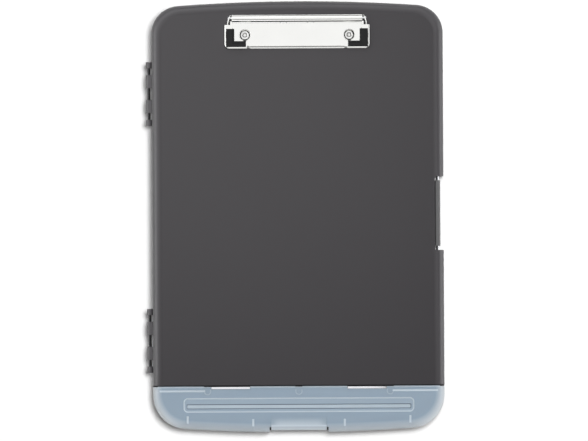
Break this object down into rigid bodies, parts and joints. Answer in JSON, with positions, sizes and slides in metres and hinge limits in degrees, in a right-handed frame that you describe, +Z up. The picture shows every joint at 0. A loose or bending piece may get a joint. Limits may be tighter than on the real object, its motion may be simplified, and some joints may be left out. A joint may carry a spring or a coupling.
{
  "type": "storage clipboard box",
  "caption": "Flat storage box with a hinged writing lid carrying a low-profile paper clip, a side latch, and a translucent hinged lid over a pen bay at the foot.",
  "frame": {"origin": "centre of the case's outline on the tray's flat underside", "axes": "+Z up out of the writing face, +Y along the length towards the clip, +X towards the side latch"},
  "size_m": [0.254, 0.3684, 0.0364],
  "materials": {
    "charcoal_plastic": "moulded polypropylene, fine matt texture",
    "latch_plastic": "moulded polypropylene, satin",
    "frosted_plastic": "translucent frosted polypropylene",
    "black_steel": "black oxide on steel rod",
    "bright_steel": "drawn steel wire and washers",
    "clip_chrome": "bright nickel-chrome plate",
    "rivet_steel": "nickel-plated tubular rivets",
    "spring_steel": "spring wire",
    "grip_rubber": "black moulded rubber"
  },
  "bodies": {
    "tray": {"base_tray": "charcoal_plastic", "hinge_rod_upper": "black_steel", "hinge_rod_lower": "black_steel", "latch_pin": "bright_steel", "pen_hinge_rod_left": "bright_steel", "pen_hinge_rod_right": "bright_steel"},
    "writing_lid": {"lid": "charcoal_plastic", "clip_base_plate": "clip_chrome", "clip_axle": "bright_steel", "clip_spring_left": "spring_steel", "clip_spring_right": "spring_steel", "clip_rivet_left": "rivet_steel", "clip_rivet_right": "rivet_steel", "rivet_washer_left": "bright_steel", "rivet_washer_right": "bright_steel"},
    "jaw": {"clip_jaw": "clip_chrome", "jaw_grip_left": "grip_rubber", "jaw_grip_right": "grip_rubber"},
    "pen_cover": {"pen_lid": "frosted_plastic"},
    "latch": {"side_latch": "latch_plastic"}
  },
  "joints": [
    {"name": "lid_hinge", "type": "hinge", "parent": "tray", "child": "writing_lid", "pos_m": [-0.1269, 0, 0.02015], "axis": [0, -1, 0], "range_deg": [0, 180]},
    {"name": "pen_lid_hinge", "type": "hinge", "parent": "tray", "child": "pen_cover", "pos_m": [0, -0.1465, 0.0279], "axis": [-1, 0, 0], "range_deg": [0, 95]},
    {"name": "clip_jaw_hinge", "type": "hinge", "parent": "writing_lid", "child": "jaw", "pos_m": [0, 0.1696, 0.0332], "axis": [-1, 0, 0], "range_deg": [0, 30], "stiffness_Nm_per_rad": 0.5, "springref_deg": -45.84, "deforming": ["clip_spring_left", "clip_spring_right"]},
    {"name": "side_latch_hinge", "type": "hinge", "parent": "tray", "child": "latch", "pos_m": [0.1197, 0.0025, 0.0048], "axis": [0, 1, 0], "range_deg": [0, 75]}
  ]
}
